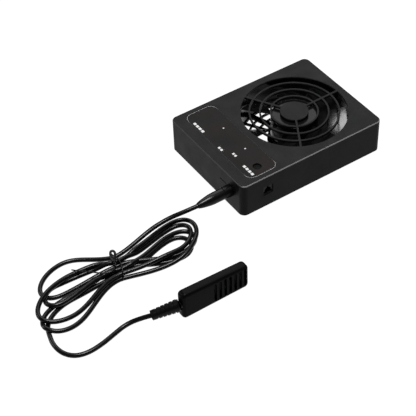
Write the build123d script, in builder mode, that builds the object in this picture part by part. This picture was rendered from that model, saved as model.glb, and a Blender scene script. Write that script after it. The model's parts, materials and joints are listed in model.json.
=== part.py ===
"""Thermostat-controlled drying fan: a flat fan box with a corded temperature and humidity probe.

Millimetres, +Z up.  The origin is the middle of the box at floor level, +X runs along the
box towards the fan end and -X towards the control panel, where the probe's cord plugs in.
"""
from build123d import *
from math import pi, radians, tan
import os

os.makedirs("parts", exist_ok=True)

# ---------------------------------------------------------------- driving dimensions
LENGTH = 135.0              # case, along X
WIDTH = 100.0               # case, along Y
CASE_HEIGHT = 30.0          # case without its feet
FOOT_HEIGHT = 2.0
WALL = 2.0
CORNER_R = 5.0              # upright corners of the case
EDGE_R = 0.9                # rounding of the top edge
GAP = 0.2                   # clearance round pieces that drop in

Z_BOTTOM = FOOT_HEIGHT
Z_TOP = Z_BOTTOM + CASE_HEIGHT
Z_CEILING = Z_TOP - WALL
Z_PLATE = Z_BOTTOM + WALL   # upper face of the base plate

FAN_X = 18.25
FAN_SIZE = 92.0
FAN_DEPTH = 25.0
FAN_PITCH = 82.5            # between the fan's screw holes
FAN_SEAT = 0.9              # pads that lift the fan off the base plate
FAN_Z = Z_PLATE + FAN_SEAT
FAN_TOP = FAN_Z + FAN_DEPTH
OPENING_R = 43.14           # air opening in the top
GRILLE_RINGS = (35.9, 27.4, 18.9)
GRILLE_DISC_R = 11.4
BAR = 1.3                   # width of a grille ring
SPOKE = 1.5

HUB_R = 19.0
BLADE_TIP_R = 43.0
DUCT_R = 44.0
BLADES = 7

PANEL_X = -43.75
PANEL_SIZE = (27.5, 90.0)
PANEL_R = 6.5
PANEL_THICK = 0.35
PANEL_RECESS = 0.4
LENS_SIZE = (17.0, 50.0)
LENS_Y = 3.0
BUTTON_AT = (-44.0, -36.0)
BUTTON_R = 3.2
BUTTON_HOLE_R = 3.5
BUTTON_TOP = Z_TOP - 0.9
DISH_R = 8.7                # finger dish in the button

# blocks of print on the panel
MARK_ROWS = (
    # x, first y, last y, number of blocks, block size along X
    (-55.0, 34.3, 20.6, 4, 2.2),
    (-39.6, 16.2, 15.0, 1, 1.2),
    (-55.4, -0.7, -5.8, 2, 2.0),
    (-50.5, -13.0, -17.6, 2, 2.0),
    (-39.7, -13.6, -14.8, 1, 1.2),
    (-52.0, -29.4, -42.3, 4, 2.2),
)
MARK_GAP = 0.9

BOARD_Z = 12.0              # underside of the main circuit board
BOARD_THICK = 1.6
BOARD_TOP = BOARD_Z + BOARD_THICK
BOARD_X = (-63.0, -30.5)
BOARD_HALF_Y = 46.5
BOARD_POSTS = ((-35.0, 42.0), (-35.0, -42.0), (-58.0, 10.0))
CASE_BOSSES = ((-60.5, 42.5), (-60.5, -42.5))

POWER_X = -43.5             # power jack in the near long side
POWER_SIZE = (9.0, 8.4)
POWER_BORE_Z = 17.0
SENSOR_Y = -33.5            # sensor jack in the control end
SENSOR_Z = 18.0
GROOVE_Y = (-41.0, -19.8)   # shallow moulded groove across the sensor jack
GROOVE_Z = 20.8

CORD_D = 3.6
FLOOR = CORD_D / 2          # height of a cord that lies on the floor
PLUG_R = 4.6
PLUG_RIM_R = 5.0
PLUG_NECK_R = 2.5
PLUG_LENGTH = 29.9

HANK_HEIGHT = 11.0
TIE_AT = (-174.3, -41.0)    # middle of the tied waist
TIE_TURN = -14.0            # the hank's direction there, in degrees from +X
TIE_WIDTH = 2.4
TIE_THICK = 0.7
WAIST_WIDTH = 24.0          # across the hank where it is tied

PROBE_Y = -105.0
PROBE_THICK = 8.2
PROBE_X = (-160.2, -103.4)
PROBE_HEIGHTS = (24.6, 22.0)
PROBE_WALL = 1.5
PROBE_EDGE_R = 2.6
LOUVRE_X = -119.6
LOUVRE_Z = 11.6
LOUVRE_PITCH = 4.33
LOUVRE_SIZE = (17.2, 2.2)
RELIEF_TIP = Vector(-179.6, -97.4, 7.4)
RELIEF_ROOT = Vector(-160.6, PROBE_Y, 13.2)
RELIEF_RADII = (5.0, 3.8)   # at the probe, at the cord
RELIEF_RIBS = 6

LEAD_D = 1.8
LEAD_ROUTE = [
    (-27.4, 36.0, 12.0), (-29.0, 36.0, 13.6), (-29.4, 35.6, 17.0), (-30.4, 34.9, 20.0),
    (-33.4, 33.7, 21.2), (-34.6, 33.2, 20.2), (-34.6, 33.2, 18.6),
]
STATOR_Z = 9.0              # heights below are above the fan's underside
FAN_PLANE = Plane((FAN_X, 0, FAN_Z))
FAN_CORNERS = [(FAN_X + sx * FAN_PITCH / 2, sy * FAN_PITCH / 2) for sx in (-1, 1) for sy in (-1, 1)]
FOOT_PLACES = [(sx * 59.5, sy * 29.5) for sx in (-1, 1) for sy in (-1, 1)]
BASE_ALIGN = (Align.CENTER, Align.CENTER, Align.MIN)


def save(part, name):
    part.label = name
    export_step(part, f"parts/{name}.step")


def air_opening(z):
    """The round hole over the fan, through one wall."""
    with BuildPart(mode=Mode.PRIVATE) as hole:
        with BuildSketch(Plane((FAN_X, 0, z))):
            Circle(OPENING_R)
        extrude(amount=WALL)
    return hole.part


def grille_bars(z, rings, disc_r, spokes):
    """The rings, spokes and centre disc that guard an air opening."""
    with BuildPart(mode=Mode.PRIVATE) as bars:
        with BuildSketch(Plane((FAN_X, 0, z))):
            for radius in rings:
                Circle(radius + BAR / 2)
                Circle(radius - BAR / 2, mode=Mode.SUBTRACT)
            Circle(disc_r)
            with PolarLocations((OPENING_R + disc_r) / 2, spokes):
                Rectangle(OPENING_R - disc_r + 1.0, SPOKE)
        extrude(amount=WALL)
    return bars.part


# ---------------------------------------------------------------- case
with BuildPart() as top_housing:
    with BuildSketch(Plane.XY.offset(Z_BOTTOM)):
        RectangleRounded(LENGTH, WIDTH, CORNER_R)
    extrude(amount=CASE_HEIGHT)
    fillet(top_housing.faces().sort_by(Axis.Z)[-1].edges(), EDGE_R)
    with BuildSketch(Plane.XY.offset(Z_BOTTOM)):
        RectangleRounded(LENGTH - 2 * WALL, WIDTH - 2 * WALL, CORNER_R - WALL)
    extrude(amount=CASE_HEIGHT - WALL, mode=Mode.SUBTRACT)
    # bosses for the two case screws
    with BuildSketch(Plane.XY.offset(Z_PLATE + 0.1)):
        with Locations(*CASE_BOSSES):
            Circle(3.2)
    extrude(until=Until.NEXT)
    with Locations(*[Location((x, y, Z_PLATE)) for x, y in CASE_BOSSES]):
        Cylinder(1.1, 12, align=BASE_ALIGN, mode=Mode.SUBTRACT)
    # slots in the fan end for the base plate's two tongues
    with Locations(*[Location((LENGTH / 2 - WALL + 0.5, y, Z_PLATE + 2.2)) for y in (-30, 30)]):
        Box(1.2, 10.6, 2.4, mode=Mode.SUBTRACT)
    add(air_opening(Z_CEILING), mode=Mode.SUBTRACT)
    add(grille_bars(Z_CEILING, GRILLE_RINGS, GRILLE_DISC_R, 3))
    # shallow recess for the panel film, and the openings below it
    with BuildSketch(Plane.XY.offset(Z_TOP - PANEL_RECESS)):
        with Locations((PANEL_X, 0)):
            RectangleRounded(PANEL_SIZE[0] + GAP, PANEL_SIZE[1] + GAP, PANEL_R)
    extrude(amount=PANEL_RECESS, mode=Mode.SUBTRACT)
    with BuildSketch(Plane.XY.offset(Z_CEILING)):
        with Locations((PANEL_X, LENS_Y)):
            RectangleRounded(LENS_SIZE[0] + GAP, LENS_SIZE[1] + GAP, 2.0)
        with Locations(BUTTON_AT):
            Circle(BUTTON_HOLE_R)
    extrude(amount=WALL, mode=Mode.SUBTRACT)
    # power jack opening in the near long side
    with BuildSketch(Plane.XZ.offset(WIDTH / 2)):
        with Locations((POWER_X, BOARD_TOP + POWER_SIZE[1] / 2)):
            RectangleRounded(POWER_SIZE[0] + GAP, POWER_SIZE[1] + GAP, 0.8)
    extrude(amount=-WALL, mode=Mode.SUBTRACT)
    # sensor jack hole in the control end
    with BuildSketch(Plane.YZ.offset(-LENGTH / 2)):
        with Locations((SENSOR_Y, SENSOR_Z)):
            Circle(3.2)
    extrude(amount=WALL, mode=Mode.SUBTRACT)
    with BuildSketch(Plane.YZ.offset(-LENGTH / 2)):
        with Locations((sum(GROOVE_Y) / 2, GROOVE_Z)):
            SlotOverall(GROOVE_Y[1] - GROOVE_Y[0], 0.9)
    extrude(amount=0.6, mode=Mode.SUBTRACT)
save(top_housing.part, "top_housing")

with BuildPart() as base_plate:
    with BuildSketch(Plane.XY.offset(Z_BOTTOM)):
        RectangleRounded(LENGTH - 2 * WALL - 2 * GAP, WIDTH - 2 * WALL - 2 * GAP, CORNER_R - WALL)
    extrude(amount=WALL)
    add(air_opening(Z_BOTTOM), mode=Mode.SUBTRACT)
    add(grille_bars(Z_BOTTOM, (37.0, 30.0), 21.5, 6))
    # pads under the fan's corners, posts under the circuit board
    with BuildSketch(Plane.XY.offset(Z_PLATE)):
        with Locations(*FAN_CORNERS):
            Circle(4.0)
    extrude(amount=FAN_SEAT)
    with BuildSketch(Plane.XY.offset(Z_PLATE)):
        with Locations(*BOARD_POSTS):
            Circle(2.6)
    extrude(amount=BOARD_Z - Z_PLATE)
    # tongues that hook into the fan end of the top
    with Locations(*[Location((LENGTH / 2 - WALL - GAP - 0.35, y, Z_PLATE)) for y in (-30, 30)]):
        Box(0.7, 10, 3.2, align=BASE_ALIGN)
    with Locations(*[Location((LENGTH / 2 - WALL + 0.1, y, Z_PLATE + 2.2)) for y in (-30, 30)]):
        Box(1.4, 10, 1.6)
    # screw holes
    with Locations(*[Location((x, y, Z_BOTTOM)) for x, y in FAN_CORNERS]):
        Cylinder(2.2, WALL + FAN_SEAT, align=BASE_ALIGN, mode=Mode.SUBTRACT)
        Cylinder(4.2, 0.8, align=BASE_ALIGN, mode=Mode.SUBTRACT)
    with Locations(*[Location((x, y, Z_BOTTOM)) for x, y in CASE_BOSSES]):
        Cylinder(1.5, WALL, align=BASE_ALIGN, mode=Mode.SUBTRACT)
    with Locations(*[Location((x, y, BOARD_Z)) for x, y in BOARD_POSTS]):
        Cylinder(0.85, 6, align=(Align.CENTER, Align.CENTER, Align.MAX), mode=Mode.SUBTRACT)
save(base_plate.part, "base_plate")

with BuildPart() as rubber_feet:
    with Locations(*[Location((x, y, 0)) for x, y in FOOT_PLACES]):
        Cylinder(5.0, FOOT_HEIGHT, align=BASE_ALIGN)
    chamfer(rubber_feet.faces().group_by(Axis.Z)[0].edges(), 0.5)
save(rubber_feet.part, "rubber_feet")

with BuildPart() as case_screws:
    with Locations(*[Location((x, y, Z_BOTTOM - 1.2)) for x, y in CASE_BOSSES]):
        Cylinder(2.4, 1.2, align=BASE_ALIGN)
    with Locations(*[Location((x, y, Z_BOTTOM)) for x, y in CASE_BOSSES]):
        Cylinder(1.05, 9, align=BASE_ALIGN)
        Cylinder(0.5, 0.4, align=(Align.CENTER, Align.CENTER, Align.MAX))
    with Locations(*[Location((x, y, Z_BOTTOM - 1.2)) for x, y in CASE_BOSSES]):
        Box(2.6, 0.7, 0.7, align=BASE_ALIGN, mode=Mode.SUBTRACT)
        Box(0.7, 2.6, 0.7, align=BASE_ALIGN, mode=Mode.SUBTRACT)
save(case_screws.part, "case_screws")

# ---------------------------------------------------------------- control panel
with BuildPart() as panel_overlay:
    with BuildSketch(Plane.XY.offset(Z_TOP - PANEL_RECESS)):
        with Locations((PANEL_X, 0)):
            RectangleRounded(PANEL_SIZE[0], PANEL_SIZE[1], PANEL_R - GAP / 2)
        with Locations(BUTTON_AT):
            Circle(BUTTON_HOLE_R, mode=Mode.SUBTRACT)
    extrude(amount=PANEL_THICK)
save(panel_overlay.part, "panel_overlay")

# Plain printed blocks on the film, in rows that run along -Y
with BuildPart() as panel_marks:
    with BuildSketch(Plane.XY.offset(Z_TOP - PANEL_RECESS + PANEL_THICK)):
        for x, first_y, last_y, blocks, depth in MARK_ROWS:
            block = (first_y - last_y - MARK_GAP * (blocks - 1)) / blocks
            with Locations(*[(x, first_y - block / 2 - (block + MARK_GAP) * i) for i in range(blocks)]):
                RectangleRounded(depth, block, 0.3)
    extrude(amount=PANEL_RECESS - PANEL_THICK)
save(panel_marks.part, "panel_marks")

with BuildPart() as display_window:
    with BuildSketch(Plane.XY.offset(Z_CEILING)):
        with Locations((PANEL_X, LENS_Y)):
            RectangleRounded(LENS_SIZE[0], LENS_SIZE[1], 1.9)
    extrude(amount=WALL - PANEL_RECESS)
    with BuildSketch(Plane.XY.offset(Z_CEILING)):
        with Locations((PANEL_X, LENS_Y)):
            Rectangle(LENS_SIZE[0] + 2.4, LENS_SIZE[1] + 2.4)
    extrude(amount=-1.0)
save(display_window.part, "display_window")

with BuildPart() as display_module:
    with BuildSketch(Plane.XY.offset(21.0)):
        with Locations((PANEL_X, LENS_Y)):
            Rectangle(15.0, 46.0)
    extrude(amount=7.6)
    with BuildSketch(Plane.XY.offset(BOARD_TOP)):
        with Locations((PANEL_X, LENS_Y)):
            with GridLocations(12.7, 5.08, 2, 8):
                Rectangle(0.6, 0.6)
    extrude(amount=21.0 - BOARD_TOP)
save(display_module.part, "display_module")

with BuildPart() as set_button:
    with BuildSketch(Plane.XY.offset(Z_CEILING - 1.2)):
        with Locations(BUTTON_AT):
            Circle(4.4)
    extrude(amount=1.1)
    with BuildSketch(Plane.XY.offset(Z_CEILING - 0.2)):
        with Locations(BUTTON_AT):
            Circle(BUTTON_R)
    extrude(amount=BUTTON_TOP - Z_CEILING + 0.2)
    fillet(set_button.faces().sort_by(Axis.Z)[-1].edges(), 0.3)
    with Locations(Location((*BUTTON_AT, BUTTON_TOP + DISH_R - 0.35))):
        Sphere(DISH_R, mode=Mode.SUBTRACT)
    with BuildSketch(Plane.XY.offset(BOARD_TOP + 5.1)):
        with Locations(BUTTON_AT):
            Circle(1.6)
    extrude(amount=Z_CEILING - 1.2 - BOARD_TOP - 5.1)
save(set_button.part, "set_button")

with BuildPart() as button_switch:
    with Locations(Location((*BUTTON_AT, BOARD_TOP))):
        Box(6, 6, 3.6, align=BASE_ALIGN)
        Cylinder(1.7, 4.5, align=BASE_ALIGN)
save(button_switch.part, "button_switch")

# ---------------------------------------------------------------- electronics
with BuildPart() as circuit_board:
    with BuildSketch(Plane.XY.offset(BOARD_Z)):
        with Locations(((BOARD_X[0] + BOARD_X[1]) / 2, 0)):
            Rectangle(BOARD_X[1] - BOARD_X[0], 2 * BOARD_HALF_Y)
        with Locations(*CASE_BOSSES):
            Circle(3.8, mode=Mode.SUBTRACT)
        with Locations(*BOARD_POSTS):
            Circle(1.1, mode=Mode.SUBTRACT)
    extrude(amount=BOARD_THICK)
save(circuit_board.part.solids().sort_by(SortBy.VOLUME)[-1], "circuit_board")

with BuildPart() as board_screws:
    with Locations(*[Location((x, y, BOARD_TOP)) for x, y in BOARD_POSTS]):
        Cylinder(1.9, 1.2, align=BASE_ALIGN)
        Cylinder(0.8, 6.5, align=(Align.CENTER, Align.CENTER, Align.MAX))
save(board_screws.part, "board_screws")

with BuildPart() as board_parts:
    with Locations(Location((-44, 36, BOARD_TOP))):
        Box(9, 9, 1.2, align=BASE_ALIGN)
    with Locations(Location((-54, 26, BOARD_TOP))):
        Cylinder(3.2, 7, align=BASE_ALIGN)
    with Locations(Location((-57, -14, BOARD_TOP))):
        Box(5, 6, 2.4, align=BASE_ALIGN)
    with Locations(Location((-57, 35, BOARD_TOP))):
        Cylinder(2.0, 5, align=BASE_ALIGN)
save(board_parts.part, "board_parts")

with BuildPart() as power_jack:
    with BuildSketch(Plane.XZ.offset(WIDTH / 2 - 0.8)):
        with Locations((POWER_X, BOARD_TOP + POWER_SIZE[1] / 2)):
            RectangleRounded(POWER_SIZE[0] - 0.1, POWER_SIZE[1] - 0.1, 0.6)
    extrude(amount=-9.8)
    # round mouth for the barrel, with its key above and the contact's slot across its lower half
    with BuildSketch(Plane.XZ.offset(WIDTH / 2 - 0.8)):
        with Locations((POWER_X, POWER_BORE_Z)):
            Circle(3.1)
        with Locations((POWER_X, POWER_BORE_Z + 2.2)):
            Rectangle(1.5, 4.4)
        with Locations((POWER_X, POWER_BORE_Z - 1.6)):
            Rectangle(7.8, 2.4)
    extrude(amount=-8.2, mode=Mode.SUBTRACT)
save(power_jack.part, "power_jack")

with BuildPart(Plane((POWER_X, -WIDTH / 2 + 9.0, POWER_BORE_Z), z_dir=(0, -1, 0))) as power_pin:
    Cylinder(1.05, 4.4, align=BASE_ALIGN)
    fillet(power_pin.faces().sort_by(Axis.Y)[0].edges(), 0.6)
save(power_pin.part, "power_pin")

with BuildPart() as sensor_jack:
    with BuildSketch(Plane.YZ.offset(-LENGTH / 2 + WALL + 0.1)):
        with Locations((SENSOR_Y, BOARD_TOP + 4.2)):
            Rectangle(8.0, 8.4)
    extrude(amount=14.0)
    with BuildSketch(Plane.YZ.offset(-LENGTH / 2 + 0.1)):
        with Locations((SENSOR_Y, SENSOR_Z)):
            Circle(3.0)
    extrude(amount=WALL + 1)
    with BuildSketch(Plane.YZ.offset(-LENGTH / 2)):
        with Locations((SENSOR_Y, SENSOR_Z)):
            Circle(1.8)
    extrude(amount=14.6, mode=Mode.SUBTRACT)
save(sensor_jack.part, "sensor_jack")

# ---------------------------------------------------------------- fan

with BuildPart(FAN_PLANE) as fan_frame:
    with BuildSketch(FAN_PLANE):
        RectangleRounded(FAN_SIZE, FAN_SIZE, 4.0)
    extrude(amount=FAN_DEPTH)
    with BuildSketch(FAN_PLANE.offset(3.5)):
        Rectangle(FAN_SIZE + 2, FAN_SIZE + 2)
        Circle(45.6, mode=Mode.SUBTRACT)
    extrude(amount=FAN_DEPTH - 7.0, mode=Mode.SUBTRACT)
    with BuildSketch(FAN_PLANE):
        Circle(DUCT_R)
    extrude(amount=FAN_DEPTH, mode=Mode.SUBTRACT)
    with BuildSketch(FAN_PLANE):
        with GridLocations(FAN_PITCH, FAN_PITCH, 2, 2):
            Circle(2.15)
    extrude(amount=FAN_DEPTH, mode=Mode.SUBTRACT)
    # motor plate on four struts, with the tube that holds the bearings
    with BuildSketch(FAN_PLANE):
        Circle(19.0)
        with PolarLocations(0, 4, start_angle=20):
            with Locations((31.5, 0)):
                Rectangle(26.0, 4.0)
    extrude(amount=2.4)
    with BuildSketch(FAN_PLANE):
        Circle(5.2)
    extrude(amount=17.0)
    with BuildSketch(FAN_PLANE.offset(1.2)):
        Circle(4.05)
    extrude(amount=16.0, mode=Mode.SUBTRACT)
save(fan_frame.part, "fan_frame")

with BuildPart(FAN_PLANE) as fan_bearings:
    for height in (4.0, 13.0):
        with BuildSketch(FAN_PLANE.offset(height)):
            Circle(4.0)
            Circle(1.52, mode=Mode.SUBTRACT)
        extrude(amount=4.0)
save(fan_bearings.part, "fan_bearings")

with BuildPart(FAN_PLANE) as fan_circuit_board:
    with BuildSketch(FAN_PLANE.offset(3.2)):
        Circle(15.5)
        Circle(5.4, mode=Mode.SUBTRACT)
    extrude(amount=1.2)
save(fan_circuit_board.part, "fan_circuit_board")

with BuildPart(FAN_PLANE) as stator_core:
    with BuildSketch(FAN_PLANE.offset(STATOR_Z)):
        Circle(14.5)
        Circle(12.4, mode=Mode.SUBTRACT)
        with PolarLocations(13.4, 4):
            Rectangle(4.0, 3.0, mode=Mode.SUBTRACT)
        with PolarLocations(9.5, 4, start_angle=45):
            Rectangle(8.0, 3.6)
        Circle(7.4)
        Circle(5.25, mode=Mode.SUBTRACT)
    extrude(amount=6.0)
save(stator_core.part, "stator_core")

with BuildPart(FAN_PLANE) as stator_coils:
    with BuildSketch(FAN_PLANE.offset(STATOR_Z - 1.0)):
        with PolarLocations(10.2, 4, start_angle=45):
            RectangleRounded(3.6, 7.2, 1.2)
    extrude(amount=8.0)
    with BuildSketch(FAN_PLANE.offset(STATOR_Z - 0.05)):
        with PolarLocations(10.2, 4, start_angle=45):
            Rectangle(4.6, 3.7)
    extrude(amount=6.1, mode=Mode.SUBTRACT)
save(stator_coils.part, "stator_coils")

with BuildPart(FAN_PLANE) as magnet_ring:
    with BuildSketch(FAN_PLANE.offset(7.0)):
        Circle(17.3)
        Circle(15.0, mode=Mode.SUBTRACT)
    extrude(amount=10.0)
save(magnet_ring.part, "magnet_ring")

with BuildPart(FAN_PLANE) as fan_shaft:
    with BuildSketch(FAN_PLANE.offset(2.6)):
        Circle(1.5)
    extrude(amount=21.0)
    with BuildSketch(FAN_PLANE.offset(3.2)):
        Circle(1.7)
        Circle(1.2, mode=Mode.SUBTRACT)
    extrude(amount=0.5, mode=Mode.SUBTRACT)
save(fan_shaft.part, "fan_shaft")

with BuildPart(FAN_PLANE) as shaft_clip:
    with BuildSketch(FAN_PLANE.offset(3.25)):
        Circle(2.6)
        Circle(1.2, mode=Mode.SUBTRACT)
        with Locations((1.6, 0)):
            Rectangle(3.2, 1.6, mode=Mode.SUBTRACT)
    extrude(amount=0.4)
save(shaft_clip.part, "shaft_clip")

with BuildPart(FAN_PLANE) as fan_impeller:
    with BuildSketch(FAN_PLANE.offset(5.4)):
        Circle(HUB_R)
    extrude(amount=18.6)
    fillet(fan_impeller.faces().sort_by(Axis.Z)[-1].edges(), 1.5)
    with BuildSketch(FAN_PLANE.offset(5.4)):
        Circle(17.4)
    extrude(amount=17.0, mode=Mode.SUBTRACT)
    # boss round the shaft
    with BuildSketch(FAN_PLANE.offset(17.6)):
        Circle(3.6)
    extrude(amount=5.0)
    with BuildSketch(FAN_PLANE.offset(17.6)):
        Circle(1.5)
    extrude(amount=6.0, mode=Mode.SUBTRACT)
    # one twisted blade, repeated round the hub
    blade_root = Plane(origin=(HUB_R - 1.0, 0, 14.0), x_dir=(0, 1, 0), z_dir=(1, 0, 0))
    blade_tip = Plane(origin=(BLADE_TIP_R + 3.0, 0, 14.0), x_dir=(0, 1, 0), z_dir=(1, 0, 0))
    with BuildPart(mode=Mode.PRIVATE) as blade:
        with BuildSketch(blade_root):
            Rectangle(19.0, 1.8, rotation=48)
        with BuildSketch(blade_tip):
            Rectangle(38.0, 1.2, rotation=26)
        loft()
        Cylinder(BLADE_TIP_R, 60, mode=Mode.INTERSECT)
        Cylinder(HUB_R - 0.8, 60, mode=Mode.SUBTRACT)
    with PolarLocations(0, BLADES, start_angle=10):
        add(blade.part)
save(fan_impeller.part, "fan_impeller")

with BuildPart() as fan_screws:
    with Locations(*[Location((x, y, Z_BOTTOM)) for x, y in FAN_CORNERS]):
        Cylinder(3.8, 0.8, align=BASE_ALIGN)
        Cylinder(2.1, 11.0, align=BASE_ALIGN)
        Box(4.4, 0.8, 0.5, align=BASE_ALIGN, mode=Mode.SUBTRACT)
        Box(0.8, 4.4, 0.5, align=BASE_ALIGN, mode=Mode.SUBTRACT)
save(fan_screws.part, "fan_screws")

# the fan's lead and its plug on the main board


def smooth_tube(route, diameter):
    """A round tube along straight runs joined by arcs, as large as the runs allow."""
    points = [Vector(*p) for p in route]
    radii = []
    for before, here, after in zip(points, points[1:], points[2:]):
        turn = (here - before).get_angle(after - here)
        shorter = min((here - before).length, (after - here).length)
        radii.append(0.45 * shorter / tan(radians(turn) / 2))
    with BuildPart() as tube:
        with BuildLine() as path:
            FilletPolyline(*points, radius=radii)
        with BuildSketch(Plane(points[0], z_dir=points[1] - points[0])):
            Circle(diameter / 2)
        sweep()
    area = pi * (diameter / 2) ** 2
    length = path.wire().length
    print(f"  radii {[round(r, 1) for r in radii]} length {length:.1f}"
          f" volume {tube.part.volume:.1f} expected {area * length:.1f}")
    return tube.part


save(smooth_tube(LEAD_ROUTE, LEAD_D), "fan_lead")

with BuildPart() as fan_connector:
    with Locations(Location((-34.6, 33.0, BOARD_TOP))):
        Box(5.0, 8.0, 5.0, align=BASE_ALIGN)
save(fan_connector.part, "fan_connector")

# ---------------------------------------------------------------- sensor plug and cord
PLUG_PLANE = Plane((-LENGTH / 2 - 0.1, SENSOR_Y, SENSOR_Z), z_dir=(-1, 0, 0))

with BuildPart(PLUG_PLANE) as plug_body:
    with BuildSketch(Plane(PLUG_PLANE.origin, x_dir=(-1, 0, 0), z_dir=(0, 1, 0))):
        with BuildLine():
            Polyline((0, 0), (0, PLUG_RIM_R), (6.4, PLUG_RIM_R), (7.0, PLUG_R))
            Line((7.0, PLUG_R), (15.5, PLUG_R))
            taper = Spline((15.5, PLUG_R), (22.5, 3.9), (28.9, PLUG_NECK_R), tangents=[(1, 0), (1, -0.35)])
            ThreePointArc(taper @ 1, (29.6, 2.2), (PLUG_LENGTH, 1.5))
            Polyline((PLUG_LENGTH, 1.5), (PLUG_LENGTH, 0), (0, 0))
        make_face()
    revolve(axis=Axis(PLUG_PLANE.origin, (1, 0, 0)))
save(plug_body.part, "plug_body")

with BuildPart(PLUG_PLANE) as plug_tip:
    Cylinder(1.75, 14.0, align=(Align.CENTER, Align.CENTER, Align.MAX))
    fillet(plug_tip.faces().sort_by(Axis.X)[-1].edges(), 1.2)
    for depth in (4.2, 8.6):
        with BuildSketch(PLUG_PLANE.offset(-depth)):
            Circle(1.9)
            Circle(1.5, mode=Mode.SUBTRACT)
        extrude(amount=-0.5, mode=Mode.SUBTRACT)
save(plug_tip.part, "plug_tip")

# From the plug down on to the hank
LEAD_IN = [(-97.0, SENSOR_Y, SENSOR_Z), (-107.0, -31.6, 16.4), (-118.5, -27.4, 13.0), (-130.5, -26.6, 10.6)]
save(smooth_tube(LEAD_IN, CORD_D), "cord_lead")

# The tied hank, as one closed solid of its outer shape
HANK_OUTLINE = [
    (-172, -28), (-190, -11), (-222, -10.5), (-241, -30), (-250, -56), (-246, -71), (-224, -74), (-196, -59),
    (-176, -54.5), (-146, -64.5), (-122, -61.5), (-101, -44), (-100.5, -23), (-122, -20), (-150, -28),
]
ALONG_HANK = Vector(1, 0, 0).rotate(Axis.Z, TIE_TURN)
HANK_PLANE = Plane((*TIE_AT, HANK_HEIGHT / 2), x_dir=(0, 0, 1), z_dir=ALONG_HANK)
with BuildPart() as cord_hank:
    with BuildSketch():
        with BuildLine():
            FilletPolyline(*HANK_OUTLINE, radius=6.0, close=True)
        make_face()
    extrude(amount=HANK_HEIGHT)
    chamfer(cord_hank.faces().sort_by(Axis.Z)[-1].edges(), 2.0)
    # groove that the tie sits in
    with BuildSketch(HANK_PLANE):
        Rectangle(HANK_HEIGHT + 2, WAIST_WIDTH + 20)
        RectangleRounded(HANK_HEIGHT - 2.4, WAIST_WIDTH, 3.0, mode=Mode.SUBTRACT)
    extrude(amount=TIE_WIDTH / 2, both=True, mode=Mode.SUBTRACT)
save(cord_hank.part, "cord_hank")

with BuildPart() as twist_tie:
    with BuildSketch(HANK_PLANE):
        RectangleRounded(HANK_HEIGHT - 2.3 + 2 * TIE_THICK, WAIST_WIDTH + 0.1 + 2 * TIE_THICK, 3.7)
        RectangleRounded(HANK_HEIGHT - 2.3, WAIST_WIDTH + 0.1, 3.0, mode=Mode.SUBTRACT)
    extrude(amount=TIE_WIDTH / 2 - 0.1, both=True)
save(twist_tie.part, "twist_tie")

# From the hank round to the probe's strain relief
TAIL_ROUTE = [
    (-245.6, -66.5, FLOOR), (-248.0, -76.2, FLOOR), (-246.4, -86.8, FLOOR), (-240.2, -94.2, FLOOR),
    (-230.6, -96.6, FLOOR), (-219.2, -95.4, FLOOR), (-208.2, -92.6, FLOOR), (-198.0, -90.2, 2.1),
    (-188.4, -92.4, 4.6), (-179.4, -97.5, 7.5),
]
save(smooth_tube(TAIL_ROUTE, CORD_D), "cord_tail")

# ---------------------------------------------------------------- probe
def probe_block(inset, edge_r):
    """The probe's wedge, smaller all round by the inset."""
    x0, x1 = PROBE_X[0] + inset, PROBE_X[1] - inset
    slope = (PROBE_HEIGHTS[0] - PROBE_HEIGHTS[1]) / (PROBE_X[1] - PROBE_X[0])
    z0 = PROBE_HEIGHTS[0] - inset - slope * inset
    z1 = PROBE_HEIGHTS[1] - inset + slope * inset
    with BuildPart(mode=Mode.PRIVATE) as block:
        with BuildSketch(Plane.XZ.offset(-PROBE_Y)):
            with BuildLine():
                FilletPolyline((x0, inset), (x1, inset), (x1, z1), (x0, z0), radius=3.4 - inset, close=True)
            make_face()
        extrude(amount=PROBE_THICK / 2 - inset, both=True)
        if edge_r:
            outer = block.faces().sort_by(Axis.Y)
            fillet(outer[0].edges() + outer[-1].edges(), edge_r)
    return block.part


with BuildPart() as probe_front:
    add(probe_block(0, PROBE_EDGE_R))
    add(probe_block(PROBE_WALL, 0), mode=Mode.SUBTRACT)
    split(bisect_by=Plane.XZ.offset(-PROBE_Y), keep=Keep.TOP)
    with BuildSketch(Plane.XZ.offset(-PROBE_Y)):
        with Locations((LOUVRE_X, LOUVRE_Z)):
            with GridLocations(LOUVRE_PITCH, 0, 7, 1):
                SlotOverall(*LOUVRE_SIZE, rotation=90)
    extrude(amount=PROBE_THICK, mode=Mode.SUBTRACT)
    with BuildSketch(Plane.YZ.offset(PROBE_X[0])):
        with Locations((PROBE_Y, RELIEF_ROOT.Z)):
            Circle(3.1)
    extrude(amount=PROBE_WALL, mode=Mode.SUBTRACT)
save(probe_front.part, "probe_front")

with BuildPart() as probe_back:
    add(probe_block(0, PROBE_EDGE_R))
    add(probe_block(PROBE_WALL, 0), mode=Mode.SUBTRACT)
    split(bisect_by=Plane.XZ.offset(-PROBE_Y), keep=Keep.BOTTOM)
    with BuildSketch(Plane.XZ.offset(-PROBE_Y - PROBE_THICK / 2 + PROBE_WALL / 2)):
        with Locations((-145, 12), (-112, 12)):
            Circle(1.8)
    extrude(amount=PROBE_THICK / 2 - PROBE_WALL / 2 - 0.8)
    with BuildSketch(Plane.YZ.offset(PROBE_X[0])):
        with Locations((PROBE_Y, RELIEF_ROOT.Z)):
            Circle(3.1)
    extrude(amount=PROBE_WALL, mode=Mode.SUBTRACT)
save(probe_back.part, "probe_back")

with BuildPart() as probe_board:
    with BuildSketch(Plane.XZ.offset(-PROBE_Y + 0.5)):
        with Locations((-129, 12)):
            Rectangle(42, 17)
    extrude(amount=-1.2)
save(probe_board.part, "probe_board")

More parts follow.
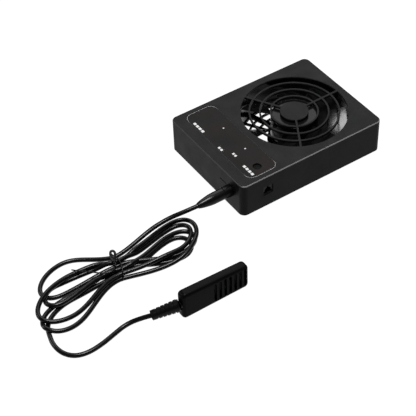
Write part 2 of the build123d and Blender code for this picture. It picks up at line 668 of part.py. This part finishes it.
with BuildPart() as sensor_element:
    with BuildSketch(Plane.XZ.offset(-PROBE_Y + 0.5)):
        with Locations((-119.6, 12)):
            Rectangle(5, 5)
    extrude(amount=1.4)
save(sensor_element.part, "sensor_element")

RELIEF_AXIS = RELIEF_TIP - RELIEF_ROOT
RIB_PITCH = (RELIEF_AXIS.length - 2.0) / RELIEF_RIBS
with BuildPart(Plane(RELIEF_ROOT, z_dir=RELIEF_AXIS)) as strain_relief:
    root_r, tip_r = RELIEF_RADII
    Cone(root_r - 0.5, tip_r - 0.5, RELIEF_AXIS.length, align=BASE_ALIGN)
    for index in range(RELIEF_RIBS):
        along = (index + 0.5) / RELIEF_RIBS
        with Locations((0, 0, 1.4 + RIB_PITCH * index)):
            Cylinder(root_r + (tip_r - root_r) * along, RIB_PITCH - 1.1, align=BASE_ALIGN)
    with Locations((0, 0, RELIEF_AXIS.length - 1.6)):
        Cylinder(tip_r, 1.6, align=BASE_ALIGN)
    # its end is cut square to the probe
    with BuildSketch(Plane.YZ.offset(PROBE_X[0] - 0.05)):
        with Locations((PROBE_Y, RELIEF_ROOT.Z)):
            Circle(20)
    extrude(amount=10, mode=Mode.SUBTRACT)
    # collar through the end of the probe, and the flange inside it
    with BuildSketch(Plane.YZ.offset(PROBE_X[0] - 0.6)):
        with Locations((PROBE_Y, RELIEF_ROOT.Z)):
            Circle(3.0)
    extrude(amount=PROBE_WALL + 0.8)
    with BuildSketch(Plane.YZ.offset(PROBE_X[0] + PROBE_WALL + 0.1)):
        with Locations((PROBE_Y, RELIEF_ROOT.Z)):
            Rectangle(5.0, 12.0)
    extrude(amount=1.6)
save(strain_relief.part, "strain_relief")
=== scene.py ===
"""The looks of a corded drying fan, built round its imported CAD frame.  Metres, +Z up."""
import json
import math

import bpy
import numpy as np
from mathutils import Matrix, Vector


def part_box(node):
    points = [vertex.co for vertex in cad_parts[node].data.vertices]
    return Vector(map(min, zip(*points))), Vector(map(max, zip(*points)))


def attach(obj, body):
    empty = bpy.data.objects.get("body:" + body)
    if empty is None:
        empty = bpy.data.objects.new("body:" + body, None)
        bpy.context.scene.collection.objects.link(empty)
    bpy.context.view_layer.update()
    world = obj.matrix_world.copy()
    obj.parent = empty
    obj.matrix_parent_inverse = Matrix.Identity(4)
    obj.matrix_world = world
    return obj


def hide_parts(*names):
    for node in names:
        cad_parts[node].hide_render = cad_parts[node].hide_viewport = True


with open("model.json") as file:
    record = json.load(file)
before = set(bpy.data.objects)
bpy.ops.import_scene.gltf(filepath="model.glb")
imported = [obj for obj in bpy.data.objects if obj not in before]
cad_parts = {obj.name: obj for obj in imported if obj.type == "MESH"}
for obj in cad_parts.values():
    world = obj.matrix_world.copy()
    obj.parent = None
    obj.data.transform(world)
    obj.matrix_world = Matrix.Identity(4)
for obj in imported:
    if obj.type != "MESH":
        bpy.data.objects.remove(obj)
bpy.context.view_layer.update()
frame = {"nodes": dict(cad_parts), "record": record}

NODES = frame["nodes"]
MM = 0.001


# ---------------------------------------------------------------- camera
def make_camera():
    """Looks down on the box from beyond its control end and its power socket side."""
    target = Vector((-83.4, -26.0, 2.0)) * MM
    distance = 0.9945
    azimuth, elevation, roll = math.radians(-32.449), math.radians(44.289), math.radians(-2.252)
    back = Vector((
        math.sin(azimuth) * math.cos(elevation),
        -math.cos(azimuth) * math.cos(elevation),
        math.sin(elevation),
    ))
    right = Vector((math.cos(azimuth), math.sin(azimuth), 0.0))
    up = back.cross(right)
    turned_right = right * math.cos(roll) + up * math.sin(roll)
    turned_up = up * math.cos(roll) - right * math.sin(roll)
    camera = bpy.data.objects.new("camera", bpy.data.cameras.new("camera"))
    camera.data.lens = 111.59
    camera.data.sensor_width = 36.0
    camera.data.clip_start = 0.05
    axes = Matrix((turned_right, turned_up, back)).transposed()
    camera.matrix_world = Matrix.Translation(target + back * distance) @ axes.to_4x4()
    bpy.context.scene.collection.objects.link(camera)
    bpy.context.scene.camera = camera


make_camera()


# ---------------------------------------------------------------- cord
CORD_D = 3.6
CORD_R = CORD_D / 2
TIE_X = -172.0
TIE_Y = -32.0
TIE_LEAN = 0.25             # the tie lies askew: its X per millimetre of Y
TIE_REACH = 14.0            # how far from the tie the strands are still held in rows
ROW_RISE = 20.0             # a row's height under the tie, counted in layers
STEP = 4.0                  # distance between points of the hank's turns
SETTLE_PASSES = 600
SINK = 0.02                 # how far the strands drop at each pass

# From the plug down on to the hank, and from the hank round to the strain relief
LEAD_IN = [(-97.0, -33.5, 18.0), (-107.0, -31.6, 16.4), (-118.5, -27.4, 13.0), (-130.5, -26.6, 10.6)]
TAIL_ROUTE = [
    (-245.6, -66.5, 1.8), (-248.0, -76.2, 1.8), (-246.4, -86.8, 1.8), (-240.2, -94.2, 1.8),
    (-230.6, -96.6, 1.8), (-219.2, -95.4, 1.8), (-208.2, -92.6, 1.8), (-198.0, -90.2, 2.1),
    (-188.4, -92.4, 4.6), (-179.4, -97.5, 7.5),
]

# Where the strands pass under the tie: place across it, and the row that they lie in
LEAD_SLOT = (-29.6, 2)
# Each turn's lobe: middle, half length, half width, lean, its slot going out and coming back,
# the slope that its strands have at the tie, and its layer (higher lies on top)
LOBES = [
    dict(
        at=(-212.0, -25.4), size=(18.7, 13.8), lean=0.5,
        slots=((-29.2, 2), (-40.5, 1)), slopes=(-0.45, -0.2), layer=3,
    ),
    dict(
        at=(-122.5, -45.8), size=(13.5, 10.6), lean=0.25,
        slots=((-40.5, 1), (-44.5, 1)), slopes=(-0.1, -0.25), layer=4,
    ),
    dict(
        at=(-229.5, -58.4), size=(16.3, 12.1), lean=0.15,
        slots=((-44.5, 1), (-50.3, 0)), slopes=(-0.3, -0.1), layer=5,
    ),
    dict(
        at=(-124.0, -43.3), size=(18.5, 17.5), lean=0.5,
        slots=((-50.3, 0), (-36.5, 1)), slopes=(-0.25, -0.1), layer=9,
    ),
    dict(
        at=(-216.5, -46.3), size=(26.8, 16.7), lean=0.57,
        slots=((-36.5, 1), (-48.5, 1)), slopes=(-0.4, -0.1), layer=8,
    ),
    dict(
        at=(-124.0, -41.5), size=(14.5, 13.0), lean=0.42,
        slots=((-48.5, 1), (-38.5, 2)), slopes=(-0.2, -0.1), layer=7,
    ),
    dict(
        at=(-223.5, -39.8), size=(10.5, 9.6), lean=0.3,
        slots=((-38.5, 2), (-42.5, 0)), slopes=(-0.4, -0.1), layer=6,
    ),
    dict(
        at=(-126.0, -48.2), size=(11.5, 10.2), lean=0.1,
        slots=((-42.5, 0), (-46.3, 0)), slopes=(-0.1, -0.25), layer=2,
    ),
]
EXIT_BEND = dict(at=(-214.0, -66.5), size=(31.0, 19.5), slot=(-46.3, 0), slope=-0.1, layer=1)


def at_tie(slot):
    """The place in plan where a slot passes under the tie."""
    return TIE_X + TIE_LEAN * (slot[0] - TIE_Y), slot[0]


def strand(start, heading, end, slope):
    """Points of a strand that leaves `start` along `heading` and meets the tie along the bundle."""
    span = math.dist(start, end)
    side = 1.0 if end[0] > start[0] else -1.0
    leave = np.array(heading) * span
    arrive = np.array((1.0, slope)) * side * span
    start, end = np.array(start), np.array(end)
    count = max(2, round(span / STEP))
    points = []
    for i in range(1, count):
        w = i / count
        points.append(tuple(
            (2 * w ** 3 - 3 * w ** 2 + 1) * start + (w ** 3 - 2 * w ** 2 + w) * leave
            + (3 * w ** 2 - 2 * w ** 3) * end + (w ** 3 - w ** 2) * arrive
        ))
    return points


def lobe_points(lobe):
    """One half turn: out from the tie, round the lobe's end, and back to the tie."""
    (cx, cy), (a, b) = lobe["at"], lobe["size"]
    away = 1.0 if cx > TIE_X else -1.0
    out_slot, back_slot = lobe["slots"]
    # the cord runs anticlockwise: out along the top on the left side, along the bottom on the right
    first = -1.0 if away > 0 else 1.0
    bend = []
    count = round(math.pi * (a + b) / 2 / STEP)
    for i in range(count + 1):
        angle = math.pi / 2 - math.pi * i / count
        side = first * b * math.sin(angle)
        bend.append((cx + away * a * math.cos(angle) + lobe["lean"] * side, cy + side))
    tie_out, tie_back = at_tie(out_slot), at_tie(back_slot)
    out = list(reversed(strand(bend[0], (-away, 0.0), tie_out, lobe["slopes"][0])))
    back = strand(bend[-1], (-away, 0.0), tie_back, lobe["slopes"][1])
    return [tie_out] + out + bend + back


def hank_points():
    """The hank's places in plan, and the layer of each."""
    plan, layers = [], []

    def extend(points, layer, start_row, end_row):
        for i, (x, y) in enumerate(points):
            near_tie = max(0.0, 1.0 - abs(x - at_tie((y, 0))[0]) / TIE_REACH)
            row = start_row if i < len(points) / 2 else end_row
            plan.append((x, y))
            layers.append(layer * (1 - near_tie) + ROW_RISE * row * near_tie)

    (xa, ya), (xb, yb) = LEAD_IN[-2][:2], LEAD_IN[-1][:2]
    run = math.hypot(xb - xa, yb - ya)
    lead = strand((xb, yb), ((xb - xa) / run, (yb - ya) / run), at_tie(LEAD_SLOT), -0.1)
    extend(lead, 12, LEAD_SLOT[1], LEAD_SLOT[1])
    for lobe in LOBES:
        extend(lobe_points(lobe), lobe["layer"], lobe["slots"][0][1], lobe["slots"][1][1])
    (cx, cy), (a, b) = EXIT_BEND["at"], EXIT_BEND["size"]
    tie = at_tie(EXIT_BEND["slot"])
    leave = [tie] + list(reversed(strand((cx, cy + b), (1.0, 0.0), tie, EXIT_BEND["slope"])))
    count = round(math.pi * (a + b) / 4 / STEP)
    for i in range(count):
        angle = math.pi / 2 * (1 - i / count)
        leave.append((cx - a * math.cos(angle), cy + b * math.sin(angle)))
    extend(leave, EXIT_BEND["layer"], EXIT_BEND["slot"][1], EXIT_BEND["slot"][1])
    return np.array(plan), np.array(layers)


def settle(plan, layers, start_z, end_z):
    """Heights of the hank's points, so that crossing strands lie on each other under their weight."""
    gap = np.hypot(plan[:, None, 0] - plan[None, :, 0], plan[:, None, 1] - plan[None, :, 1])
    index = np.arange(len(plan))
    far_along = np.abs(index[:, None] - index[None, :]) > 4
    touching = (gap < CORD_D) & far_along
    need = np.where(touching, np.sqrt(np.maximum(CORD_D ** 2 - gap ** 2, 0)), 0)
    above = layers[:, None] > layers[None, :]
    z = CORD_R + 0.25 * layers
    for _ in range(SETTLE_PASSES):
        z = z - SINK
        lift = np.where(touching & above, need - (z[:, None] - z[None, :]), 0)
        lift = np.maximum(lift, 0)
        z = z + 0.35 * lift.max(axis=1) - 0.25 * lift.max(axis=0)
        ends = np.concatenate(([start_z], z, [end_z]))
        z = 0.5 * z + 0.25 * (ends[:-2] + ends[2:])
        z = np.maximum(z, CORD_R)
    return z


def curve_object(name, route, radius, closed=False, order=3):
    """A round wire or cord on a NURBS line whose control points are `route`, in millimetres."""
    data = bpy.data.curves.new(name, "CURVE")
    data.dimensions = "3D"
    data.bevel_depth = radius * MM
    data.bevel_resolution = 5
    data.resolution_u = 6
    data.use_fill_caps = not closed
    spline = data.splines.new("NURBS")
    spline.points.add(len(route) - 1)
    for point, (x, y, z) in zip(spline.points, route):
        point.co = (x * MM, y * MM, z * MM, 1.0)
    spline.order_u = order
    spline.use_endpoint_u = not closed
    spline.use_cyclic_u = closed
    piece = bpy.data.objects.new(name, data)
    bpy.context.scene.collection.objects.link(piece)
    return piece


def make_cord():
    plan, layers = hank_points()
    heights = settle(plan, layers, LEAD_IN[-1][2], TAIL_ROUTE[0][2])
    turns = [(x, y, z) for (x, y), z in zip(plan, heights)]
    return curve_object("cord", LEAD_IN + turns + TAIL_ROUTE, CORD_R)


def centreline(curve):
    """The points that a curve object follows, in metres."""
    bare = curve.data.copy()
    bare.bevel_depth = 0.0
    holder = bpy.data.objects.new("bare", bare)
    mesh = bpy.data.meshes.new_from_object(holder)
    points = np.array([tuple(v.co) for v in mesh.vertices])
    bpy.data.objects.remove(holder)
    bpy.data.curves.remove(bare)
    bpy.data.meshes.remove(mesh)
    return points


cord = make_cord()
LINE = centreline(cord)


# ---------------------------------------------------------------- twist tie
TIE_WIRE_R = 0.5
TIE_EYE_R = 0.95
TIE_TWIST_R = 0.6           # distance of each wire from the twist's middle
TIE_PITCH = 5.0

# Round the waist of the hank, as a closed loop seen from the probe's side
TIE_BAND = [
    (-173.6, -33.5, 11.2), (-171.9, -40.0, 11.4), (-172.4, -45.0, 10.6), (-174.5, -50.0, 8.6),
    (-176.2, -53.2, 5.0), (-177.0, -53.0, 1.4), (-175.4, -45.0, 0.6), (-172.6, -34.0, 0.6),
    (-171.0, -27.4, 1.6), (-171.2, -26.6, 6.0), (-172.6, -28.6, 10.4),
]
TIE_EYE = [
    (-176.0, -40.5, 11.4), (-175.6, -36.0, 11.8), (-174.6, -33.0, 12.4), (-173.2, -31.4, 12.9),
    (-171.4, -31.8, 12.9), (-171.0, -34.2, 12.5), (-173.0, -37.0, 12.0), (-175.8, -41.5, 11.4),
]
TIE_TWIST_LINE = [(-175.9, -41.0, 11.4), (-176.6, -43.5, 11.6), (-178.2, -46.0, 11.2), (-181.2, -47.4, 10.4)]
TIE_TAIL = [
    (-180.4, -47.0, 10.6), (-184.6, -47.1, 10.4), (-188.0, -45.2, 10.6), (-191.6, -42.2, 10.8),
    (-195.0, -39.0, 10.8), (-198.4, -35.6, 10.6), (-201.6, -32.2, 10.2), (-204.8, -28.2, 9.8),
]


def twisted_pair(line):
    """Two wires wound round each other along `line`, in millimetres."""
    guide = curve_object("guide", line, 0.0)
    middle = centreline(guide) / MM
    bpy.data.objects.remove(guide)
    travelled = np.concatenate(([0], np.cumsum(np.linalg.norm(np.diff(middle, axis=0), axis=1))))
    heading = np.gradient(middle, axis=0)
    heading /= np.linalg.norm(heading, axis=1)[:, None]
    across = np.cross(heading, (0, 0, 1.0))
    across /= np.linalg.norm(across, axis=1)[:, None]
    upward = np.cross(across, heading)
    pair = []
    for side in (0, math.pi):
        turn = 2 * math.pi * travelled / TIE_PITCH + side
        ring = across * np.cos(turn)[:, None] + upward * np.sin(turn)[:, None]
        pair.append([tuple(p) for p in middle + ring * TIE_TWIST_R])
    return pair


def make_tie():
    """A plastic-coated wire: round the waist, twisted on top, with an eye and one long loose end."""
    pieces = [
        curve_object("tie_band", TIE_BAND, TIE_WIRE_R, closed=True),
        curve_object("tie_eye", TIE_EYE, TIE_EYE_R),
        curve_object("tie_tail", TIE_TAIL, TIE_WIRE_R),
    ]
    for wire, route in zip("ab", twisted_pair(TIE_TWIST_LINE)):
        pieces.append(curve_object("tie_twist_" + wire, route, TIE_WIRE_R))
    return pieces


tie_pieces = make_tie()


# ---------------------------------------------------------------- materials
class Surface:
    """A Principled material whose patterns are laid out in the object's own metres."""

    def __init__(self, name, colour, roughness, specular=0.5, metallic=0.0):
        self.material = bpy.data.materials.new(name)
        self.material.use_nodes = True
        self.nodes = self.material.node_tree.nodes
        self.links = self.material.node_tree.links
        self.shader = self.nodes["Principled BSDF"]
        self.set("Base Color", (*colour, 1.0))
        self.set("Roughness", roughness)
        self.set("Specular IOR Level", specular)
        self.set("Metallic", metallic)
        self.place = self.nodes.new("ShaderNodeTexCoord").outputs["Object"]

    def set(self, socket, value):
        self.shader.inputs[socket].default_value = value

    def noise(self, size, stretch=(1, 1, 1), detail=3.0):
        """A soft pattern with features about `size` metres across, longer where stretch is under 1."""
        mapping = self.nodes.new("ShaderNodeMapping")
        mapping.inputs["Scale"].default_value = stretch
        self.links.new(self.place, mapping.inputs["Vector"])
        noise = self.nodes.new("ShaderNodeTexNoise")
        noise.inputs["Scale"].default_value = 1 / size
        noise.inputs["Detail"].default_value = detail
        self.links.new(mapping.outputs["Vector"], noise.inputs["Vector"])
        return noise.outputs["Fac"]

    def bands(self, pitch, axis, wobble=0.0):
        """Parallel ridges `pitch` metres apart along an axis, or rings about Z."""
        wave = self.nodes.new("ShaderNodeTexWave")
        wave.wave_type = "RINGS" if axis == "RINGS" else "BANDS"
        if axis == "RINGS":
            wave.rings_direction = "Z"
        else:
            wave.bands_direction = axis
        wave.inputs["Scale"].default_value = 0.314 / pitch
        wave.inputs["Distortion"].default_value = wobble
        self.links.new(self.place, wave.inputs["Vector"])
        return wave.outputs["Fac"]

    def cells(self, size):
        """Small cells about `size` metres across, dark at their middles."""
        voronoi = self.nodes.new("ShaderNodeTexVoronoi")
        voronoi.inputs["Scale"].default_value = 1 / size
        self.links.new(self.place, voronoi.inputs["Vector"])
        return voronoi.outputs["Distance"]

    def level(self, factor, low, high, start=0.3, end=0.7):
        """Spreads a pattern's middle range over low to high."""
        spread = self.nodes.new("ShaderNodeMapRange")
        spread.inputs["From Min"].default_value = start
        spread.inputs["From Max"].default_value = end
        spread.inputs["To Min"].default_value = low
        spread.inputs["To Max"].default_value = high
        self.links.new(factor, spread.inputs["Value"])
        return spread.outputs["Result"]

    def vary_roughness(self, factor, low, high):
        self.links.new(self.level(factor, low, high), self.shader.inputs["Roughness"])

    def vary_colour(self, factor, dark, light, start=0.3, end=0.7):
        mix = self.nodes.new("ShaderNodeMix")
        mix.data_type = "RGBA"
        mix.inputs["A"].default_value = (*dark, 1.0)
        mix.inputs["B"].default_value = (*light, 1.0)
        self.links.new(self.level(factor, 0, 1, start, end), mix.inputs["Factor"])
        self.links.new(mix.outputs["Result"], self.shader.inputs["Base Color"])

    def paint_edge_highlights(self, low, high, side, near_highlight_tone, highlight_tone):
        """Paints a highlight in lighter grey on the layer between two heights, where edges are rounded;
        brightest where Y is below side.
        """
        split = self.nodes.new("ShaderNodeSeparateXYZ")
        self.links.new(self.place, split.inputs["Vector"])
        middle, half = (low + high) / 2, (high - low) / 2
        within = self.nodes.new("ShaderNodeMath")
        within.operation = "COMPARE"
        within.inputs[1].default_value = middle
        within.inputs[2].default_value = half
        self.links.new(split.outputs["Z"], within.inputs[0])
        # painted highlight: one grey below Y = side, a darker grey beyond it, both within the rounded edge
        # band
        lighter = self.nodes.new("ShaderNodeMix")
        lighter.data_type = "RGBA"
        lighter.inputs["A"].default_value = (*near_highlight_tone, 1.0)
        lighter.inputs["B"].default_value = (*highlight_tone, 1.0)
        self.links.new(self.level(split.outputs["Y"], 0, 1, side, side + 0.0015), lighter.inputs["Factor"])
        mix = self.nodes.new("ShaderNodeMix")
        mix.data_type = "RGBA"
        self.links.new(lighter.outputs["Result"], mix.inputs["B"])
        self.links.new(within.outputs["Value"], mix.inputs["Factor"])
        self.links.new(self.shader.inputs["Base Color"].links[0].from_socket, mix.inputs["A"])
        self.links.new(mix.outputs["Result"], self.shader.inputs["Base Color"])

    def bump(self, factor, depth, strength=1.0):
        """Raises the surface by up to `depth` metres; a second call adds to the first."""
        bump = self.nodes.new("ShaderNodeBump")
        bump.inputs["Distance"].default_value = depth
        bump.inputs["Strength"].default_value = strength
        self.links.new(factor, bump.inputs["Height"])
        if self.shader.inputs["Normal"].is_linked:
            self.links.new(self.shader.inputs["Normal"].links[0].from_socket, bump.inputs["Normal"])
        self.links.new(bump.outputs["Normal"], self.shader.inputs["Normal"])


def moulded_black(name, tone, roughness, specular, grain=0.0004, depth=0.00001):
    """Black moulded plastic: fine spark texture, faint flow marks, and patchy handling sheen."""
    surface = Surface(name, (tone, tone, tone * 1.05), roughness, specular)
    surface.vary_colour(
        surface.noise(0.009, stretch=(1, 0.4, 1)), (tone * 0.75,) * 3, (tone * 1.3, tone * 1.3, tone * 1.36)
    )
    surface.vary_roughness(surface.noise(0.014), roughness - 0.05, roughness + 0.06)
    surface.bump(surface.noise(grain, detail=2.0), depth)
    surface.bump(surface.noise(0.03, detail=1.0), 0.00004)
    return surface


def case_plastic():
    """The case's moulded plastic, with a painted highlight in lighter grey along its rounded upper edges."""
    surface = moulded_black("case_black", 0.002, 0.42, 0.056)
    low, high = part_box("top_housing")
    # painted edge highlight: 0.09 grey along the near long top edge, 0.022 grey on the other top edges
    surface.paint_edge_highlights(high.z - 0.0008, high.z - 0.00004, low.y + 0.0015, (0.09,) * 3, (0.022,) * 3)
    return surface.material


def printed_film():
    """Smoked polyester film over the control panel, with the faintest orange peel."""
    surface = Surface("film_black", (0.002, 0.002, 0.0022), 0.36, 0.038)
    surface.vary_colour(surface.noise(0.022, detail=1.0), (0.0014, 0.0016, 0.0016), (0.0040, 0.0026, 0.0022))
    surface.vary_roughness(surface.noise(0.012), 0.32, 0.40)
    surface.bump(surface.noise(0.0012), 0.000004)
    return surface.material


def film_edge_painted_highlight():
    """The film's edge, with a painted highlight where it turns round the panel's two short ends."""
    surface = Surface("film_edge", (0.01, 0.01, 0.01), 0.3, 0.1)
    split = surface.nodes.new("ShaderNodeSeparateXYZ")
    surface.links.new(surface.place, split.inputs["Vector"])
    reach = surface.nodes.new("ShaderNodeMath")
    reach.operation = "ABSOLUTE"
    surface.links.new(split.outputs["Y"], reach.inputs[0])
    # painted highlight: the bead turns light grey beyond |Y| of 36 to 41 mm, at the panel's short ends
    surface.vary_colour(reach.outputs["Value"], (0.015,) * 3, (0.22,) * 3, 0.036, 0.041)
    surface.vary_roughness(surface.noise(0.004), 0.24, 0.36)
    surface.bump(surface.noise(0.0008), 0.000004)
    return surface.material


def smoked_window():
    """Dark reddish-brown window over the display."""
    surface = Surface("smoked_lens", (0.006, 0.003, 0.0025), 0.3, 0.042)
    surface.vary_colour(surface.noise(0.02), (0.005, 0.0026, 0.0022), (0.009, 0.0042, 0.0035))
    surface.vary_roughness(surface.noise(0.01), 0.16, 0.24)
    surface.bump(surface.noise(0.002), 0.000003)
    return surface.material


def screen_print():
    """Light grey ink, thin enough at its grain for a little black to show."""
    surface = Surface("mark_grey", (0.3, 0.3, 0.3), 0.6, 0.2)
    surface.vary_colour(surface.noise(0.00025), (0.25, 0.25, 0.25), (0.34, 0.34, 0.34))
    surface.vary_roughness(surface.noise(0.003), 0.52, 0.68)
    surface.bump(surface.noise(0.00025), 0.000006)
    return surface.material


def soft_rubber():
    surface = Surface("foot_rubber", (0.008, 0.008, 0.008), 0.8, 0.15)
    surface.vary_colour(surface.noise(0.002), (0.006, 0.006, 0.006), (0.013, 0.013, 0.012))
    surface.vary_roughness(surface.noise(0.001), 0.72, 0.9)
    surface.bump(surface.noise(0.0003), 0.00002)
    return surface.material


def soft_pvc():
    """The cord's sheath: slick, slightly uneven along its length, with faint extrusion marks."""
    surface = Surface("cord_pvc", (0.001, 0.001, 0.001), 0.26, 0.11)
    surface.vary_colour(surface.noise(0.006), (0.001, 0.001, 0.001), (0.002, 0.002, 0.002))
    surface.vary_roughness(surface.noise(0.004), 0.2, 0.3)
    surface.bump(surface.noise(0.012, detail=1.0), 0.00005)
    surface.bump(surface.noise(0.0006), 0.000002)
    return surface.material


def fan_plastic():
    """Glass-filled plastic: satin, with flow lines that sweep round the hub and fine fibre pits."""
    surface = Surface("fan_plastic", (0.0012, 0.0012, 0.0013), 0.2, 0.08)
    surface.vary_roughness(surface.noise(0.005), 0.14, 0.22)
    surface.vary_colour(surface.noise(0.004, stretch=(1, 1, 0.3)), (0.0015,) * 3, (0.003,) * 3)
    surface.bump(surface.noise(0.0005), 0.000012)
    return surface.material


def steel():
    """Plated or ground steel with fine lathe marks and dull spots."""
    surface = Surface("steel", (0.55, 0.55, 0.56), 0.3, metallic=1.0)
    surface.vary_colour(surface.noise(0.002), (0.42, 0.42, 0.43), (0.62, 0.62, 0.63))
    surface.vary_roughness(surface.noise(0.0006), 0.22, 0.42)
    surface.bump(surface.bands(0.00012, "Z", 1.0), 0.000003)
    return surface.material


def nickel():
    surface = Surface("nickel", (0.68, 0.66, 0.60), 0.16, metallic=1.0)
    surface.vary_colour(surface.noise(0.003), (0.60, 0.58, 0.52), (0.72, 0.70, 0.64))
    surface.vary_roughness(surface.noise(0.001), 0.10, 0.24)
    surface.bump(surface.noise(0.0004), 0.000002)
    return surface.material


def winding_wire():
    """Turns of enamelled copper wire, each with a rounded crown."""
    surface = Surface("copper", (0.72, 0.36, 0.18), 0.3, metallic=1.0)
    turns = surface.bands(0.00025, "Z", 0.6)
    surface.vary_colour(turns, (0.30, 0.11, 0.05), (0.76, 0.38, 0.19), 0.1, 0.8)
    surface.vary_roughness(surface.noise(0.001), 0.24, 0.38)
    surface.bump(turns, 0.00006)
    return surface.material


def stacked_sheets():
    """Half-millimetre steel sheets seen on their edges."""
    surface = Surface("lamination", (0.18, 0.18, 0.19), 0.45, metallic=0.9)
    sheets = surface.bands(0.0005, "Z")
    surface.vary_colour(sheets, (0.05, 0.045, 0.04), (0.22, 0.22, 0.23), 0.1, 0.5)
    surface.vary_roughness(surface.noise(0.0008), 0.38, 0.55)
    surface.bump(sheets, 0.00004)
    return surface.material


def bonded_ferrite():
    surface = Surface("magnet", (0.05, 0.05, 0.054), 0.6, 0.3)
    surface.vary_colour(surface.noise(0.0006), (0.035, 0.035, 0.038), (0.075, 0.075, 0.08))
    surface.vary_roughness(surface.noise(0.002), 0.5, 0.7)
    surface.bump(surface.cells(0.0005), 0.00002)
    return surface.material


def solder_mask():
    """Green board: lighter over the copper tracks, which stand up slightly."""
    surface = Surface("board_green", (0.015, 0.10, 0.045), 0.3, 0.5)
    tracks = surface.bands(0.0018, "X", 14.0)
    surface.vary_colour(tracks, (0.006, 0.045, 0.02), (0.02, 0.13, 0.055), 0.45, 0.6)
    surface.vary_roughness(surface.noise(0.0012), 0.24, 0.4)
    surface.bump(surface.level(tracks, 0, 1, 0.45, 0.6), 0.00003)
    surface.bump(surface.noise(0.0004), 0.000006)
    return surface.material


def red_sleeve():
    surface = Surface("lead_red", (0.35, 0.02, 0.02), 0.38, 0.4)
    surface.vary_colour(surface.noise(0.003), (0.26, 0.012, 0.012), (0.4, 0.03, 0.025))
    surface.vary_roughness(surface.noise(0.0015), 0.32, 0.46)
    surface.bump(surface.noise(0.0008), 0.00002)
    return surface.material


FINISHES = {
    "case_black": case_plastic(),
    "film_black": printed_film(),
    "smoked_lens": smoked_window(),
    "mark_grey": screen_print(),
    "button_black": moulded_black("button_black", 0.001, 0.36, 0.02, grain=0.0003, depth=0.000006).material,
    "foot_rubber": soft_rubber(),
    "cord_pvc": soft_pvc(),
    "probe_black": moulded_black("probe_black", 0.0012, 0.4, 0.026).material,
    "fan_plastic": fan_plastic(),
    "steel": steel(),
    "nickel": nickel(),
    "copper": winding_wire(),
    "lamination": stacked_sheets(),
    "magnet": bonded_ferrite(),
    "board_green": solder_mask(),
    "component_black": moulded_black("component_black", 0.006, 0.5, 0.15, grain=0.0002).material,
    "lead_red": red_sleeve(),
}
for subpart in frame["record"]["subparts"]:
    materials = NODES[subpart["node"]].data.materials
    materials.clear()
    materials.append(FINISHES[subpart["material_slot"]])


def finish(piece, body, slot_name):
    """Paints a new piece and says what it moves with."""
    piece.data.materials.append(FINISHES[slot_name])
    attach(piece, body)


# ---------------------------------------------------------------- small details
FILM_CORNER_R = 6.4         # outline of the panel's film, in millimetres
EDGE_BEAD_R = 0.16
EDGE_INSET = 0.1
EDGE_SINK = 0.12            # how far below the film's top the bead's middle lies


def rounded_outline(low, high, radius, z, inset=0.0):
    """A rounded rectangle's outline in millimetres, anticlockwise, at height z."""
    points = []
    corners = (
        (high.x - radius, high.y - radius, 0), (low.x + radius, high.y - radius, 90),
        (low.x + radius, low.y + radius, 180), (high.x - radius, low.y + radius, 270),
    )
    for cx, cy, start in corners:
        for i in range(7):
            angle = math.radians(start + 15 * i)
            reach = radius - inset
            points.append((cx + reach * math.cos(angle), cy + reach * math.sin(angle), z))
    return points


def film_edge():
    """The rolled edge of the panel's film, a thin bead whose material paints a highlight on it at the short
    ends.
    """
    low, high = (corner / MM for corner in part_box("panel_overlay"))
    outline = rounded_outline(low, high, FILM_CORNER_R, high.z - EDGE_SINK, inset=EDGE_INSET)
    return curve_object("film_edge", outline, EDGE_BEAD_R, closed=True, order=2)


finish(cord, "case", "cord_pvc")
for piece in tie_pieces:
    finish(piece, "case", "cord_pvc")
edge = film_edge()
edge.data.materials.append(film_edge_painted_highlight())
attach(edge, "case")


# ---------------------------------------------------------------- floor, light
def make_floor():
    """A white floor that glows just enough to lose its shadows, as on a light table."""
    bpy.ops.mesh.primitive_plane_add(size=6.0)
    floor = bpy.context.object
    floor.name = "floor"
    material = bpy.data.materials.new("floor")
    material.use_nodes = True
    shader = material.node_tree.nodes["Principled BSDF"]
    shader.inputs["Base Color"].default_value = (0.03, 0.03, 0.03, 1)
    shader.inputs["Roughness"].default_value = 1.0
    shader.inputs["Specular IOR Level"].default_value = 0.0
    shader.inputs["Emission Color"].default_value = (1, 1, 1, 1)
    shader.inputs["Emission Strength"].default_value = 1.0
    floor.data.materials.append(material)


def area_light(name, direction, distance, size, power):
    """A square light `distance` metres from the box's middle, facing it."""
    data = bpy.data.lights.new(name, "AREA")
    data.shape = "SQUARE"
    data.size = size
    data.energy = power
    lamp = bpy.data.objects.new(name, data)
    lamp.location = LIT_POINT + Vector(direction).normalized() * distance
    lamp.rotation_euler = (LIT_POINT - lamp.location).to_track_quat("-Z", "Y").to_euler()
    bpy.context.scene.collection.objects.link(lamp)


LIT_POINT = Vector((-0.05, -0.02, 0.02))
make_floor()
world = bpy.data.worlds.new("world")
bpy.context.scene.world = world
world.use_nodes = True
world.node_tree.nodes["Background"].inputs["Color"].default_value = (1, 1, 1, 1)
world.node_tree.nodes["Background"].inputs["Strength"].default_value = 0.15
bpy.context.scene.view_settings.view_transform = "Standard"
area_light("sky", (0.384, 0.604, 0.698), 1.4, 1.1, 15)
area_light("overhead", (0.0, -0.12, 1.0), 1.5, 0.45, 46)
area_light("side", (-0.70, 0.60, 0.38), 1.5, 0.5, 8)


# ---------------------------------------------------------------- what rides and stands for what
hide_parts("cord_lead", "cord_hank", "cord_tail")
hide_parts("twist_tie")
